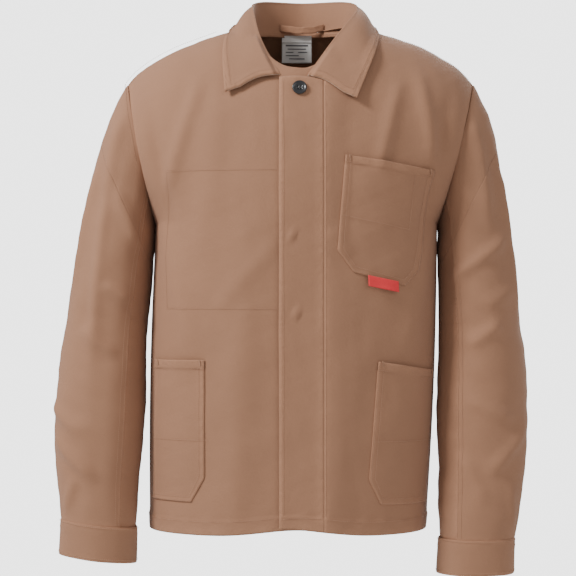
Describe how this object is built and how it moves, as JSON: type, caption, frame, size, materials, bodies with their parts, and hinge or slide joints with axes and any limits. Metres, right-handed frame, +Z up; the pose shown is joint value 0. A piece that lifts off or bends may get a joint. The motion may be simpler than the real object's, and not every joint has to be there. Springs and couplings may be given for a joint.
{
  "type": "work jacket",
  "caption": "Long-sleeved cotton twill work jacket with turn-down collar, concealed front fly, patch pockets and buttoned cuffs.",
  "frame": {"origin": "middle of the neck opening, where a neck form or a hanger carries the jacket", "axes": "+Z up, -Y is the jacket's front, +X is the wearer's left; it hangs as worn"},
  "size_m": [0.696, 0.2821, 0.8561],
  "materials": {
    "twill": "matte cotton twill",
    "inner_twill": "matte cotton twill, reverse side",
    "interlining": "stiff non-woven",
    "button": "semi-gloss resin",
    "thread": "spun polyester thread",
    "white_label": "woven satin",
    "red_label": "woven satin"
  },
  "bodies": {
    "torso": {"back_panel": "twill", "left_front_panel": "twill", "right_front_panel": "twill", "left_front_facing": "inner_twill", "right_front_facing": "inner_twill", "fly_flap_top": "twill", "buttonhole_strip_top": "inner_twill", "chest_pocket": "twill", "left_lower_pocket": "twill", "right_lower_pocket": "twill", "inner_pocket": "inner_twill", "upper_collar": "twill", "collar_interlining": "interlining", "under_collar": "twill", "top_button": "button", "hidden_buttons": "button", "button_threads": "thread", "bartacks": "thread"},
    "left_sleeve": {"left_top_sleeve": "twill", "left_under_sleeve": "twill"},
    "left_forearm": {"left_top_forearm": "twill", "left_under_forearm": "twill", "left_cuff": "twill", "left_vent_binding": "inner_twill", "left_cuff_button": "button"},
    "right_sleeve": {"right_top_sleeve": "twill", "right_under_sleeve": "twill"},
    "right_forearm": {"right_top_forearm": "twill", "right_under_forearm": "twill", "right_cuff": "twill", "right_vent_binding": "inner_twill", "right_cuff_button": "button"},
    "front_band": {"fly_flap": "twill", "buttonhole_strip": "inner_twill"},
    "loop": {"hanger_loop": "inner_twill"},
    "neck_tag": {"neck_label": "white_label", "size_label": "white_label"},
    "flag_tag": {"flag_label": "red_label"}
  },
  "joints": [
    {"name": "left_sleeve_raise", "type": "hinge", "parent": "torso", "child": "left_sleeve", "pos_m": [0.2588, -0.008, -0.09], "axis": [0, -1, 0], "range_deg": [0, 75]},
    {"name": "left_elbow_bend", "type": "hinge", "parent": "left_sleeve", "child": "left_forearm", "pos_m": [0.273, -0.0835, -0.45], "axis": [-1, 0, 0], "range_deg": [0, 100]},
    {"name": "right_sleeve_raise", "type": "hinge", "parent": "torso", "child": "right_sleeve", "pos_m": [-0.2588, -0.008, -0.09], "axis": [0, 1, 0], "range_deg": [0, 75]},
    {"name": "right_elbow_bend", "type": "hinge", "parent": "right_sleeve", "child": "right_forearm", "pos_m": [-0.273, -0.0835, -0.45], "axis": [-1, 0, 0], "range_deg": [0, 100]},
    {"name": "front_open", "type": "hinge", "parent": "torso", "child": "front_band", "pos_m": [0.0378, -0.1515, -0.5], "axis": [0, 0, 1], "range_deg": [0, 120]},
    {"name": "loop_lift", "type": "hinge", "parent": "torso", "child": "loop", "pos_m": [0, 0.0565, 0.0092], "axis": [-1, 0, 0], "range_deg": [0, 80]},
    {"name": "neck_tag_flip", "type": "hinge", "parent": "torso", "child": "neck_tag", "pos_m": [0, 0.0617, -0.0078], "axis": [-1, 0, 0], "range_deg": [0, 80]},
    {"name": "flag_flip", "type": "hinge", "parent": "torso", "child": "flag_tag", "pos_m": [0.12793, -0.12806, -0.3784], "axis": [-0.915, -0.4035, 0], "range_deg": [0, 150]}
  ]
}
